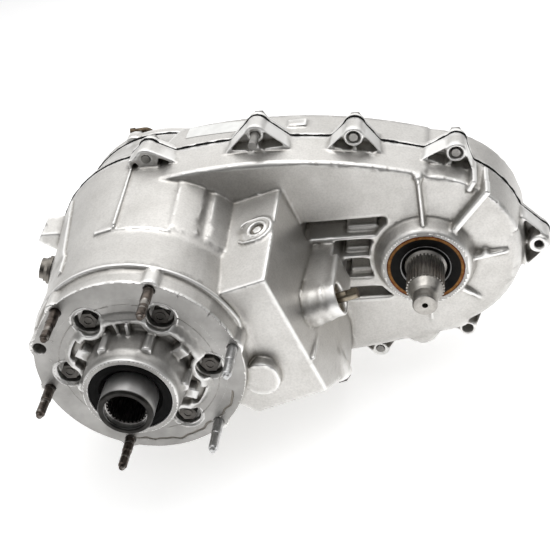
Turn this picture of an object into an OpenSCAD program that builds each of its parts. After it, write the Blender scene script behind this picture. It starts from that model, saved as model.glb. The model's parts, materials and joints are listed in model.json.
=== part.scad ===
// Chain drive transfer case: planetary low range in the round bell, chain drive
// to the front output, extension housing behind.
// Origin: centre of the mounting flange's front face. +Y runs back into the
// case, +X points to the front output, +Z is up.

/* [Mounting flange] */
// Radius of the round mounting flange
flange_r = 97.5; // [96:0.5:99]
// Diameter of the stud circle
stud_pcd = 184; // [182:0.5:185]
// Radius of each mounting stud
stud_r = 4.75; // [4.2:0.05:5]
// Length of stud standing out of the flange
stud_out = 38.2; // [30:0.1:42]
// Angle of the first stud above the X axis
stud_a0 = 71.1; // [70:0.1:72]

/* [Case] */
// Distance between the main shaft and the front output shaft
centre_distance = 257; // [256:0.5:258]
// Depth at which the two case halves meet
split_y = 182.4; // [181.5:0.1:183]
// Front plane of the chain case
face_y = 141; // [140:0.5:142]
// Depth at which the extension housing joins the rear case
ext_y = 242; // [241.5:0.5:243]
// Main side radius of the case at the split
main_r = 117.5; // [116.5:0.5:118.5]
// Output side radius of the case at the split
out_r = 96.2; // [95.5:0.1:97]
// General wall thickness of the castings
wall = 5; // [4.5:0.1:5.5]
// Tilt of the shift housing and of the shift shaft
tilt = 15.8; // [15:0.1:16.5]

/* [Gears] */
// Module of the planetary gears
gear_m = 2.75; // [2.75:0.01:2.76]
// Teeth of the sun gear on the input gear
sun_z = 33;
// Teeth of each planet gear
planet_z = 12;
// Teeth of the ring gear
ring_z = 57;
// Teeth of each chain sprocket
sprocket_z = 40; // [40:1:40]
// Tip radius of the chain sprockets
sprocket_r = 60.8; // [60:0.1:60.9]

/* [Shafts] */
// Outer radius of the input gear's snout
snout_r = 24.8; // [24.6:0.1:24.8]
// Outer radius of the front output spline
out_spline_r = 17.9; // [17.5:0.1:18]
// Radius of the plain nose on the front output shaft
nose_r = 11.5; // [11:0.1:11.8]
// Bore radius of the rear bushing for the slip yoke
yoke_r = 24; // [23.5:0.1:24.5]

/* [Hidden] */
D = centre_distance;
planet_R = gear_m*(sun_z + planet_z)/2;
$fn = 96;
CAST = "#c9c7c2"; DARK = "#4a4846"; STEEL = "#8f8f90"; BRIGHT = "#b9babb"; BLACK = "#161616";

// ---------- helpers: solids along the Y axis ----------
module yx(a, b) translate([0,b,0]) rotate([90,0,0]) linear_extrude(height=b-a) children();
module yc(r, a, b, x=0, z=0) translate([x,b,z]) rotate([90,0,0]) cylinder(r=r, h=b-a);
module yk(r0, r1, a, b, x=0, z=0) translate([x,b,z]) rotate([90,0,0]) cylinder(r1=r1, r2=r0, h=b-a);
module yt(ro, ri, a, b, x=0, z=0) difference() { yc(ro,a,b,x,z); yc(ri,a-1,b+1,x,z); }
module yrev(pts, x=0, z=0) translate([x,0,z]) rotate([90,0,0]) rotate_extrude() polygon([for (p=pts) [p[0],-p[1]]]);
module yhex(af, a, b, x=0, z=0) translate([x,b,z]) rotate([90,0,0]) cylinder(r=af/sqrt(3), h=b-a, $fn=6);
module blk() rotate([0,-tilt,0]) children();
// cylinder along the shift housing's own u axis, centred at depth y and height v
module uc(r, u0, u1, y, v) translate([u0,y,v]) rotate([0,90,0]) cylinder(r=r, h=u1-u0);
module vc(r, v0, v1, u, y) translate([u,y,v0]) cylinder(r=r, h=v1-v0);
function pol(r, a) = [r*cos(a), r*sin(a)];
function stud_a(i) = stud_a0 - 60*i;
stud_R = stud_pcd/2;

// ---------- gear outlines ----------
function hw(z, m, pa, r, bl) = let (rb = z*m/2*cos(pa), q = max(r, rb+0.001))
  90/z + (tan(pa)*180/PI - pa) - bl - (sqrt(pow(q/rb,2)-1)*180/PI - acos(rb/q));
module gear2d(z, m, add, ded, bl, pa=25) {
  rp = z*m/2; ra = rp + add*m; rr = rp - ded*m; rs = max(rr, rp*cos(pa)+0.05);
  polygon([for (i=[0:z-1]) let (c = i*360/z) each concat(
    rs > rr ? [pol(rr, c - hw(z,m,pa,rs,bl))] : [],
    [for (k=[0:4]) let (r = rs + (ra-rs)*k/4) pol(r, c - hw(z,m,pa,r,bl))],
    [for (k=[4:-1:0]) let (r = rs + (ra-rs)*k/4) pol(r, c + hw(z,m,pa,r,bl))],
    rs > rr ? [pol(rr, c + hw(z,m,pa,rs,bl))] : [])]);
}
// straight sided teeth: z teeth from radius r0 to r1, f0 and f1 are tooth widths as part of the pitch
module teeth2d(z, r0, r1, f0, f1) polygon([for (i=[0:z-1]) let (c = i*360/z, p = 360/z) each
  [pol(r0, c - p*f0/2), pol(r1, c - p*f1/2), pol(r1, c + p*f1/2), pol(r0, c + p*f0/2)]]);

// ---------- case outline ----------
module outline(inset=0, k=1) {
  circle(r=main_r-inset, $fn=180*k);
  translate([D,0]) circle(r=out_r-inset, $fn=180*k);
  intersection() {
    translate([103,-374.5]) circle(r=500-inset, $fn=360*k);
    translate([-22,0]) square([290,200]);
  }
  intersection() {
    translate([90,506]) circle(r=625-inset, $fn=360*k);
    translate([16,-200]) square([236,201]);
  }
}
// each ear: left foot, bolt centre, right foot, bolt boss radius
EARS = [
 [[-19,119],[2,124],[28,119.5],10],
 [[80,123],[111.5,139],[142,123],10],
 [[176,118.5],[202,128],[227,107],10],
 [[261,98],[293.5,102.5],[309,79],10],
 [[349,28],[364,-4.5],[350,-33],11.5],
 [[308,-80],[290,-102],[261,-95],9.5],
 [[224,-103],[198,-125.5],[171,-109],9.5],
 [[138,-113],[111,-134.5],[84,-117],9.5],
 [[45,-117],[18,-133.5],[-8,-115],9.5],
 [[-55,-101],[-82,-104],[-95,-66],9.5],
 [[-108,-40],[-129.5,-24],[-114,8],9.5]];
// ears whose bolts run through a dowel sleeve
DOWELS = [4,10];
function rot90(v) = [-v[1], v[0]];
function unit(v) = v/norm(v);
module ear2d(e) {
  nl = rot90(unit(e[1]-e[0])); nr = rot90(unit(e[2]-e[1]));
  sl = e[3]*nl; sr = e[3]*nr;
  translate(e[1]) circle(r=e[3], $fn=48);
  polygon([e[0], e[1]+sl*0.98, e[1]+sr*0.98, e[2], (e[0]+e[2])/2*0.97]);
}
module ear_pocket2d(e, s) {
  f = s < 0 ? e[0] : e[2]; o = s < 0 ? e[2] : e[0];
  m = (e[0]+e[2])/2; w = unit(e[1]-m);
  q = e[1] + e[3]*0.98*rot90(unit(s < 0 ? e[1]-e[0] : e[2]-e[1]));
  g = (f + m + q)/3; k = 0.74;
  difference() {
    polygon([g+(f-g)*k, m+(f-m)*0.1+w*1.2, e[1]-w*(e[3]-4), g+(q-g)*k]);
    translate(e[1]) circle(r=e[3]-2.2, $fn=32);
  }
}

// ---------- front case ----------
module bell_outer() yrev([[0,0],[flange_r,0],[flange_r,17],[102.4,24],[103.6,70],[106,76],[113.3,face_y],[main_r+0.3,split_y],[0,split_y]]);
module block_outer() {
  hull() {
    yx(24,24.5) polygon([[82.5,60.7],[125.5,72.8],[162.4,-57.6],[91.5,-81.5],[77.8,-70.9]]);
    yx(100.5,101) polygon([[80,70],[128,85],[173,-64],[173.5,-100],[150,-108],[80,-96]]);
    yx(150,150.5) polygon([[60,75],[129.8,93.5],[175.5,-66],[172,-106],[90,-112],[60,-100]]);
  }
}
module chain_front() {
  translate([128,face_y,0]) rotate([-90,0,0]) mirror([0,1,0])
    linear_extrude(height=split_y-face_y, scale=[1.02,1.045], slices=1) scale([1/1.02,1/1.045]) translate([-128,0]) outline(0,0.5);
}
// rounding of the chain case's front edge round the output side
module edge_round() difference() {
  yrev([[78,120],[110,120],[110,158],[92.6,158],[91.2,151],[88,145.6],[84,142.4],[78,140.9]], D, 0);
  rotate_at(D,0,112.5) translate([-150,100,0]) cube([300,80,160]);
  rotate_at(D,0,15) translate([-150,100,0]) cube([300,80,160]);
}
module shift_boss() blk() {
  uc(17, 132, 177.5, 73, -38);
  translate([132,73,-55]) cube([45.5,48,34]);
  translate([132,73,-55]) cube([39.5,108,34]);
  translate([132,73,-56.5]) cube([33.5,100,37]);
  uc(18.5, 132, 165.5, 73, -38);
  translate([132,73,-58]) cube([23,96,40]);
  uc(20, 132, 155, 73, -38);
  // rib from the boss forward to the front edge of the housing
  translate([128,26,-63.5]) cube([17,50,2.6]);
}
module pocket(x0, x1, z0, z1, y1) translate([x0,face_y-1,z0]) cube([x1-x0, y1-face_y+1, z1-z0]);
module front_case() color(CAST) {
  difference() {
    union() {
      bell_outer();
      // stud columns and the lobe of the plain hole
      for (i=[0:5]) { p = pol(stud_R, stud_a(i)); yc(9.8, 0, 36, p[0], p[1]); }
      yc(10.5, 0, 30, -86.9, 29.8);
      block_outer();
      chain_front();
      shift_boss();
      // boss of the switch port under the housing
      blk() vc(11.5, -132, -100, 137, 82);
      // ears
      for (i=[1:10]) difference() {
        yx(161, split_y) ear2d(EARS[i]);
        yx(160, 177) { ear_pocket2d(EARS[i],-1); ear_pocket2d(EARS[i],1); }
      }
      difference() {
        union() {
          yx(161, split_y) ear2d(EARS[0]);
          yx(161, 179) polygon([[-22.5,112],[-6.5,129.5],[2,134],[10,131.2],[35,116],[20,110],[0,108],[-15,108]]);
        }
        yx(160, 175) polygon([[-16.8,111],[-15.8,115.4],[-10,121],[-4.8,114.2],[-4.8,110]]);
        yx(160, 175) polygon([[11.2,110],[11.6,115],[14.2,124],[25.4,118],[27,114],[25,110]]);
      }
      // bosses on the ears
      for (i=[4,5]) yc(i==4 ? 9.5 : 8.5, 157, 175, EARS[i][1][0], EARS[i][1][1]);
      for (i=[2,3]) yc(9.2, 159.6, 175, EARS[i][1][0], EARS[i][1][1]);
      // raised pads and ribs on the bell
      intersection() {
        yrev([[0,75],[106,75],[108.2,78],[115.8,face_y],[119,165],[0,165]]);
        union() {
          translate([36.5,74,60]) cube([24,70,70]);
          translate([67,74,50]) cube([15,75,70]);
        }
      }
      translate([-15.6,75,90]) rotate([4.6,0,0]) cube([2.6,92,17.6]);
      rotate([0,-104,0]) translate([95,72,-9]) cube([12.2,6,18]);
      // boss for the front output seal and bearing
      yrev([[0,124.3],[40.6,124.3],[43,126.5],[50,145],[52,150],[52,170],[0,170]], D, 0);
      // ribs on the chain case
      translate([D-0.4,face_y-12,38]) cube([3.4,20,55]);
      yc(4.2, face_y-6, face_y+6, D+1.4, 92.5);
      // strap from the boss over the edge to the ear
      rotate_at(D,0,50.5) translate([38,face_y-11,-3]) cube([62,20,6]);
      rotate_at(D,0,50.5) translate([88,face_y-11,-3]) cube([10.5,46,5.5]);
      rotate_at(D,0,58.5) translate([86,face_y-3,-3]) cube([13,38,5.5]);
      // tapered ribs
      gusset(D+38, 84-38, 3, 4.4, 13);
      rotate_at(D,0,-46) gusset(38, 38, 0, 4.4, 12);
      rotate_at(D,0,-90) gusset(38, 46, 0, 3, 10);
      yc(3.6, face_y-8, face_y+2, D+56.5, 5);
      // bulge under the front output
      yk(15, 20.5, face_y+2, face_y+15, 245, -92);
      yc(20.5, face_y+14.5, split_y-2, 245, -92);
      // lug on the left side
      difference() {
        yx(159, split_y) polygon([[-84,78],[-92.8,67],[-107,58.2],[-121,57],[-131.2,41],[-116,29.7],[-104,29.7]]);
        translate([-140,159,49]) rotate([18.6,0,0]) translate([0,-10,0]) cube([42,60,30]);
      }
      // boss of the indicator switch
      rotate([0,-160,0]) translate([98,112,0]) rotate([0,90,0]) cylinder(r=15, h=12);
      // round boss on the front of the shift housing
      yc(17.2, 12, 40, 106.4, -32.4);
      // pad round the plug on top of the shift housing
      blk() translate([129.5,93,38]) rotate([8.4,0,0]) cylinder(r=16, h=10.2);
    }
    edge_round();
    // recess for the bearing retainer
    yc(79.3, -1, 12, 0, 0);
    yc(41, -1, 60, 0, 0);
    // bell cavity, stepped for the ring gear
    yrev([[0,20],[86,20],[90.1,24],[90.1,60],[97,62],[99,76],[106,face_y],[110,split_y+1],[0,split_y+1]]);
    // cavity of the shift housing
    hull() {
      yx(30,30.5) polygon([[60,50],[117,63],[151.5,-58],[90,-74],[60,-60]]);
      yx(172,172.5) polygon([[60,60],[112,70],[160,-62],[158,-96],[90,-104],[60,-90]]);
    }
    // chain cavity, shallow behind the pockets and deep elsewhere
    yx(176, split_y+1) outline(7);
    yx(150, 180) difference() {
      outline(11);
      translate([D,0]) circle(r=58);
      translate([112,-52]) square([120,110]);
      circle(r=100);
    }
    yc(45, 160, split_y+1, D, 0);
    // stud, retainer bolt and plain holes
    for (i=[0:5]) { p = pol(stud_R, stud_a(i)); yc(stud_r-0.27, -1, 26, p[0], p[1]); yk(6.6, stud_r-0.27, -0.1, 2.2, p[0], p[1]); }
    for (i=[0:5]) { p = pol(66.3, 60*i); yc(4, 0, 25, p[0], p[1]); }
    yc(6.3, -1, 24, -86.9, 29.8);
    // front output bores
    yc(36.75, 120, 134, D, 0);
    yc(31, 120, 185, D, 0);
    yc(36, 138, 185, D, 0);
    // pockets beside the output boss
    difference() {
      union() {
        pocket(142.5, 224, 31, 50.4, 172);
        pocket(149, 208, 7.8, 26.6, 172);
        pocket(170, 208, -17.8, 4.6, 172);
        pocket(176, 224, -42.4, -29.6, 172);
      }
      yrev([[0,120],[54.5,120],[54.5,185],[0,185]], D, 0);
      shift_boss();
      translate([184,150,31]) cube([30,30,7]);
      translate([180,150,7]) cube([26,30,6]);
      translate([182,150,-18]) cube([26,30,6]);
    }
    // bolt holes in the ears
    for (e=EARS) yc(4.3, 150, split_y+1, e[1][0], e[1][1]);
    for (i=[2,3]) yc(6.4, 158, 163.5, EARS[i][1][0], EARS[i][1][1]);
    yc(5.6, 150, 174, EARS[5][1][0], EARS[5][1][1]);
    // shift shaft and its outer recess
    blk() uc(7.06, 120, 170, 73, -38);
    blk() uc(13.5, 168, 179, 73, -38);
    // detent bore and switch port
    blk() vc(5.1, -150, -72, 127, 68);
    blk() vc(7, -140, -118, 137, 82);
    blk() vc(8.5, -150, -129, 137, 82);
    // plug recess on top of the shift housing
    blk() translate([129.5,93,38]) rotate([8.4,0,0]) translate([0,0,9.4]) cylinder(r=7.5, h=4);
    // shift rail seat
    yc(8, 26.5, 60, 95, -35);
    // bore and spot face of the indicator switch
    rotate([0,-160,0]) translate([110,112,0]) rotate([0,90,0]) cylinder(r=15.4, h=20);
    rotate([0,-160,0]) translate([90,112,0]) rotate([0,90,0]) cylinder(r=7, h=30);
    // seats of the dowel sleeves
    for (i=DOWELS) yc(6.52, 175.5, split_y+1, EARS[i][1][0], EARS[i][1][1]);
  }
  // carrier for the shift rail inside the bell
  difference() {
    yc(10.5, 29.5, 44, 95, -35);
    yc(8, 25, 60, 95, -35);
  }
}
module rotate_at(x, z, a) translate([x,0,z]) rotate([0,-a,0]) children();
// tapered rib: height h at its inner end, down to the face at its outer end
module gusset(x, l, z, w, h) translate([x,0,z-w/2]) linear_extrude(height=w)
  polygon([[0,face_y-h],[0,face_y+6],[l,face_y+6],[l,face_y-0.4]]);

// ---------- rear case ----------
module rear_case() color(CAST) {
  difference() {
    union() {
      // chain side, straight to its rear edge, and the round main side, tapered
      intersection() {
        union() {
          yx(split_y+0.8, 222) outline();
          translate([128,222,0]) rotate([-90,0,0]) mirror([0,1,0])
            linear_extrude(height=10, scale=[0.975,0.94], slices=1) translate([-128,0]) outline(0,0.5);
        }
        translate([4,split_y,-200]) rotate([0,0,-26]) translate([0,-30,0]) cube([420,300,400]);
      }
      yrev([[0,split_y+0.8],[main_r,split_y+0.8],[main_r,188],[113.2,204],[109.3,220],[106.5,231],[106.5,ext_y-0.6],[0,ext_y-0.6]]);
      yx(split_y+0.8, 190) for (e=EARS) ear2d(e);
      // round cover over the rear bearing of the front output
      yrev([[0,220],[60,220],[52,238],[44,241],[0,241]], D, 0);
      // ribs between the two round covers
      for (z=[-44,-22,0,22,44]) translate([100,228,z-2]) cube([112,8,4]);
      for (a=[-75,-45,-15,15,45,75]) rotate_at(D,0,a) translate([44,226,-2]) cube([40,9,4]);
      // plug bosses
      yc(15, 225, 242, 165, -88);
      yc(15, 225, 242, 172, 74);
      // low raised pad on top
      translate([135,197,110]) cube([19,12.5,16.6]);
    }
    // cavity: chain chamber, narrower where the main side tapers
    yx(split_y, 199) outline(7);
    intersection() {
      yx(198, 226) outline(7);
      translate([13,split_y,-200]) rotate([0,0,-26]) translate([0,-30,0]) cube([420,300,400]);
    }
    yc(101.5, 198, 226);
    // stepped opening to the extension
    yc(46, 220, 250, 0, 0);
    yt(92, 60, 231, 250, 0, 0);
    yc(31, 220, 236, D, 0);
    for (e=EARS) yc(4.3, split_y, 200, e[1][0], e[1][1]);
    for (i=[0:7]) { p = ext_bolt(i); yc(3.4, 228, 250, p[0], p[1]); }
    yc(8, 225, 228.5, 95, -35);
    yc(9, 220, 250, 165, -88);
    yc(9, 220, 250, 172, 74);
    for (i=DOWELS) yc(6.52, split_y, 188, EARS[i][1][0], EARS[i][1][1]);
    // seat of the magnet
    translate([110,205,-109.6]) cube([24,14,4], center=true);
  }
}

// ---------- extension housing ----------
function ext_bolt(i) = pol(100, 19.5+45*i);
module extension_housing() color(CAST) {
  difference() {
    union() {
      yrev([[0,ext_y+0.6],[106.5,ext_y+0.6],[106.5,254],[94,256],[86,268],[62,295],[48,309],[42,316],[42,344],[46,346],[46,358],[0,358]]);
      for (i=[0:7]) { p = ext_bolt(i); yc(10.5, ext_y+0.6, 256, p[0], p[1]); }
      intersection() {
        yrev([[0,250],[100,250],[98,262],[70,292],[56,306],[46,318],[46,330],[0,330]]);
        for (a=[0:45:135]) rotate([0,-a,0]) translate([-110,250,-2]) cube([220,110,4]);
      }
      rotate([0,-240,0]) translate([50,284,0]) rotate([0,90,0]) cylinder(r=13, h=38);
      translate([-20.5,270,72]) cylinder(r=5.5, h=13.5);
    }
    yrev([[0,ext_y],[90,ext_y],[84,262],[56,291],[40,303],[35,307],[35,313],[0,313]]);
    yc(27, 312, 345, 0, 0);
    yc(34, 343.5, 362, 0, 0);
    for (i=[0:7]) { p = ext_bolt(i); yc(4.4, ext_y, 260, p[0], p[1]); yc(8.3, 256, 272, p[0], p[1]); }
    rotate([0,-240,0]) translate([30,284,0]) rotate([0,90,0]) cylinder(r=8, h=60);
    translate([-20.5,270,60]) cylinder(r=3.1, h=40);
    translate([-9,249,-88]) cube([18,18,9]);
  }
}

// ---------- input bearing retainer ----------
module input_retainer() color(CAST) {
  difference() {
    union() {
      // plate, sloping collar, sunken ring and hub
      yrev([[0,12],[79.2,12],[79.2,0],[67.5,0],[66,-0.8],[60.5,-5.6],[57,-5.6],[56,1.4],[49.2,1.4],[46.4,-1.6],[45.2,-26],[43.8,-30.5],[43,-37.4],[42.2,-38.2],[0,-38.2]]);
      // round pads of the bolts, flush with the plate and the collar
      intersection() {
        yrev([[0,12],[79.2,12],[79.2,0],[67.5,0],[66,-0.8],[60.5,-5.6],[0,-5.6]]);
        for (i=[0:5]) { p = pol(66.3, 60*i); yc(17, -6, 12, p[0], p[1]); }
      }
      // box webs between the hub and the collar
      for (a=[-26,28,146,206]) rotate([0,-a,0]) translate([42,-11,-5.6]) cube([16,13,11.2]);
      // thin ribs over the sunken ring
      rotate([0,-86,0]) translate([44,-9.5,-1.5]) cube([14,11.5,3]);
      for (a=[98,-60,-120]) rotate([0,-a,0]) translate([44,-6,-1.3]) cube([14,8,2.6]);
      // half round ribs on the hub
      for (a=[112,62,-2,176,236]) { p = pol(46.3, a); yc(4.6, -26, 2, p[0], p[1]); }
    }
    yc(37.75, -40, -26.5, 0, 0);
    yc(36, -28, 13, 0, 0);
    yc(40, -24, 13, 0, 0);
    for (i=[0:5]) { p = pol(66.3, 60*i); yc(12.3, -16, 8.2, p[0], p[1]); yc(4.3, 4, 13, p[0], p[1]); }
    // the collar is a thin rib over the gaps at the sides
    for (a=[-31,151]) intersection() {
      yt(62.6, 54, -10, 1.4);
      rotate([0,-a,0]) translate([50,-12,-11]) cube([30,20,22]);
    }
  }
}
module input_seal() color(BLACK) yrev([[24.88,-31],[27,-32.4],[29,-35],[33,-36.6],[37.6,-36.6],[37.6,-27.2],[35.6,-27.2],[35.2,-33],[30.6,-31.6],[27.6,-28.2],[24.88,-28.6]]);
module ball_bearing(ri, ro, a, b, x, z, n) {
  m = (ri+ro)/2; w = (ro-ri)*0.29; c = (a+b)/2;
  difference() { yt(ro, m+w*0.62, a, b, x, z); yball_groove(m, w, c, x, z); }
  difference() { yt(m-w*0.62, ri, a, b, x, z); yball_groove(m, w, c, x, z); }
  for (i=[0:n-1]) { p = pol(m, 360*i/n); translate([x+p[0], c, z+p[1]]) sphere(r=w-0.05, $fn=32); }
}
module yball_groove(m, w, c, x, z) translate([x,c,z]) rotate([90,0,0]) rotate_extrude() translate([m,0]) circle(r=w, $fn=32);
module input_bearing() color(BRIGHT) ball_bearing(25.08, 39.95, -24, -8, 0, 0, 11);

// ---------- fasteners ----------
module mounting_studs() color(DARK) for (i=[0:5]) {
  p = pol(stud_R, stud_a(i));
  yrev([[0,24],[stud_r-0.3,24],[stud_r-0.3,-0.4],[stud_r,-0.46],[stud_r,-16],[stud_r-0.5,-17],[stud_r-0.5,-34],[stud_r-1.2,-35.2],[2.9,-35.4],[2.9,-37.4],[2.2,-stud_out],[0,-stud_out]], p[0], p[1]);
}
module retainer_bolts() color(DARK) for (i=[0:5]) {
  p = pol(66.3, 60*i);
  yhex(15, 1.6, 8.1, p[0], p[1]); yc(3.95, 7, 24.5, p[0], p[1]);
  yt(4.6, 3.4, 1, 1.7, p[0], p[1]);
}
module case_bolts() color(STEEL) for (i=[0:10]) {
  e = EARS[i][1];
  end = i==1 ? 141 : i==4 || i==5 ? 176 : 160.6;
  yhex(13, 190.1, 197, e[0], e[1]);
  yc(4.1, end, 191, e[0], e[1]);
}
module extension_bolts() color(STEEL) for (i=[0:7]) {
  p = ext_bolt(i);
  yhex(13, 256.1, 262.5, p[0], p[1]); yc(3.3, 229.2, 257, p[0], p[1]);
}
module case_sealant() color(BLACK) difference() {
  union() {
    yx(split_y+0.02, split_y+0.78) outline(-1.1);
    yx(split_y+0.02, split_y+0.78) for (e=EARS) ear2d([e[0],e[1],e[2],e[3]+1.1]);
  }
  yx(split_y-1, split_y+2) outline(5.5);
  for (i=[0:10]) yc(i==4 || i==10 ? 7 : 5, split_y-1, split_y+2, EARS[i][1][0], EARS[i][1][1]);
}
module extension_sealant() color(BLACK) difference() {
  yt(107.5, 93, ext_y-0.58, ext_y+0.58);
  for (i=[0:7]) { p = ext_bolt(i); yc(4.6, 240, 245, p[0], p[1]); }
}

// ---------- planetary and main line ----------
module input_gear() color(STEEL) {
  difference() {
    union() {
      yrev([[0,-58.4],[snout_r-1.2,-58.4],[snout_r,-57.2],[snout_r,-25],[25,-24.6],[25,-8],[29.9,-7.6],[29.9,31],[40,31.2],[40,60],[0,60]]);
      yx(32, 55.5) gear2d(sun_z, gear_m, 0.8, 1.05, 0.22);
    }
    yc(17, -60, 8, 0, 0);
    yk(20.6, 19.2, -58.5, -57.2, 0, 0);
    yc(19.2, -57.4, -51, 0, 0);
    yx(-60, 2) teeth2d(29, 16.5, 18.6, 0.62, 0.42);
    yc(15.4, 7, 44, 0, 0);
    yc(33.5, 43, 61, 0, 0);
  }
}
module ring_gear() color(STEEL) yx(32, 56) difference() {
  circle(r=90);
  rotate(180/ring_z) gear2d(ring_z, gear_m, 1.05, 0.8, -0.12);
}
module planet_carrier() color(STEEL) difference() {
  union() {
    yt(74, 29.97, 25, 30.4);
    yt(74, 49.6, 57.2, 63);
    for (i=[0:5]) { p = pol(66.5, 30+60*i); yc(5.2, 30, 58, p[0], p[1]); }
  }
  for (i=[0:5]) { p = pol(planet_R, 60*i); yc(6, 20, 66, p[0], p[1]); }
}
module planet_pins() color(BRIGHT) for (i=[0:5]) { p = pol(planet_R, 60*i); yc(6, 25, 63, p[0], p[1]); }
module planet(i) color(STEEL) {
  p = pol(planet_R, 60*i);
  translate([p[0],0,p[1]]) yx(32.4, 55) difference() {
    rotate(3.75*60*i + 165) gear2d(planet_z, gear_m, 0.8, 1.05, 0.55);
    circle(r=6.08);
  }
}
module planet_gear_1() planet(0);
module planet_gear_2() planet(1);
module planet_gear_3() planet(2);
module planet_gear_4() planet(3);
module planet_gear_5() planet(4);
module planet_gear_6() planet(5);
module range_sleeve() color(STEEL) difference() {
  union() {
    yx(56, 72) teeth2d(24, 31, 32.9, 0.6, 0.45);
    yc(42, 71, 76.2, 0, 0); yc(34, 76, 86.2, 0, 0); yc(42, 86, 91, 0, 0);
  }
  yc(20.08, 50, 95, 0, 0);
}
module main_shaft() color(STEEL) union() {
  yrev([[0,10],[13,10],[15.32,12],[15.32,43.4],[20,43.6],[20,120],[24,120.4],[24,149.6],[21,150],[21,176],[22.9,176.4],[22.9,224],[24.9,224.4],[24.9,252],[20,254],[20,290],[17.2,291],[17.2,312],[0,312]]);
  yx(291.5, 311.5) teeth2d(31, 17.0, 18.9, 0.62, 0.42);
}
module mode_hub() color(STEEL) yt(34, 21.02, 150.2, 170);
module mode_sleeve() color(STEEL) difference() {
  union() { yc(44, 148, 153.2); yc(39, 153, 163.2); yc(44, 163, 172); }
  yc(34.08, 140, 180);
}
module fork(ys, ye, ri, bl, br) {
  a = atan2(-35, 95);
  difference() {
    union() {
      yx(ys, ye) rotate(a) difference() {
        union() {
          circle(r=ri+11);
          translate([ri-2,-9]) square([101.3-ri,18]);
        }
        circle(r=ri);
        translate([-80,-80]) square([76,160]);
      }
      yc(13.5, bl, br, 95, -35);
    }
    yc(8.08, bl-1, br+1, 95, -35);
  }
}
module range_fork() color(CAST) {
  difference() { fork(76.7, 85.6, 34.4, 68, 92); }
  blk() uc(4.6, 91, 128.6, 73, -66);
}
module mode_fork() color(CAST) fork(153.6, 162.6, 39.4, 144, 172);
module shift_rail() color(BRIGHT) yc(8, 27, 228, 95, -35);
module sprocket2d(ri) difference() { teeth2d(sprocket_z, sprocket_r-6.4, sprocket_r, 0.78, 0.34); circle(r=ri); }
module drive_sprocket() color(STEEL) {
  yx(187, 215) sprocket2d(23.0);
  difference() { yx(176.8, 187.5) teeth2d(30, 31, 33.6, 0.6, 0.4); yc(23.0, 170, 190); }
}
module driven_sprocket() color(STEEL) translate([D,0,0]) {
  yx(187, 215) sprocket2d(21.0);
  yt(34, 21.0, 180, 188); yt(30, 21.0, 214, 221);
}
module loop2d(r) { circle(r=r, $fn=160); translate([D,0]) circle(r=r, $fn=160); translate([0,-r]) square([D,2*r]); }
module drive_chain() color(DARK) yx(187.6, 214.4) difference() {
  loop2d(74);
  loop2d(61.6);
  // gaps between the link plates
  for (i=[0:26]) for (s=[-1,1]) translate([4.5+9.525*i, s*73.4]) rotate(45) square(2.6, center=true);
  for (i=[0:19]) rotate(94.5+9*i) translate([73.8,0]) rotate(45) square(2.6, center=true);
  translate([D,0]) for (i=[0:19]) rotate(-85.5+9*i) translate([73.8,0]) rotate(45) square(2.6, center=true);
}
module front_output_shaft() color(STEEL) difference() {
  union() {
    yrev([[0,67.9],[nose_r-1,67.9],[nose_r,68.9],[nose_r,80],[13,82],[16.4,91],[16.6,92],[16.6,124],[19.9,127],[19.9,139.6],[19.95,140],[19.95,158],[22.5,158.4],[22.5,179.5],[20.95,179.8],[20.95,222],[19.95,222.4],[19.95,236],[0,236]], D, 0);
    translate([D,0,0]) yx(92, 126) teeth2d(32, 16.4, out_spline_r, 0.66, 0.46);
  }
  yc(2.8, 66, 80, D, 0);
}
module front_output_seal() color(BLACK) yrev([[20.02,131],[22,128.4],[25,126.2],[31,125.2],[36.7,125],[36.7,133.4],[34,133.4],[33.5,128],[27,128.4],[23.4,132],[20.02,133]], D, 0);
module front_output_bearing() color(BRIGHT) ball_bearing(20.0, 35.95, 140, 158, D, 0, 9);
module output_rear_bearing() color(BRIGHT) ball_bearing(20.0, 30.95, 223, 235.6, D, 0, 9);
module main_rear_bearing() color(BRIGHT) ball_bearing(25.0, 45.95, 224.6, 241, 0, 0, 10);
module oil_pump() color(STEEL) difference() {
  union() { yt(44, 20.1, 258, 270); yt(56, 20.1, 262, 265); translate([-6,255.5,-60]) cube([12,9.5,14]); }
  for (a=[0:60:300]) { p = pol(50, a); yc(2.6, 250, 280, p[0], p[1]); }
}
module pickup_tube() color(BRIGHT) difference() {
  union() { translate([0,260,-80]) cylinder(r=4.5, h=19.5); translate([-8.5,254,-82.5]) cube([17,12,3.5]); }
  translate([0,260,-82]) cylinder(r=3, h=30);
}
module speed_ring() color(STEEL) yx(276, 286) difference() { teeth2d(36, 36, 38.6, 0.6, 0.4); circle(r=20.02); }
module speed_sensor() color(BLACK) rotate([0,-240,0]) translate([0,284,0]) {
  translate([39.6,0,0]) rotate([0,90,0]) cylinder(r=7.9, h=50);
  translate([88.1,0,0]) rotate([0,90,0]) cylinder(r=12, h=9);
  translate([89.5,-8,-8]) cube([8,28,16]);
}
module rear_seal() color(BLACK) yrev([[yoke_r+0.6,349],[28,346.4],[33.9,346],[33.9,357.6],[26,357.6],[yoke_r+0.6,355],[27,352]]);
module rear_bushing() color("#8d7a55") yt(26.95, yoke_r, 315, 343);

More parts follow.
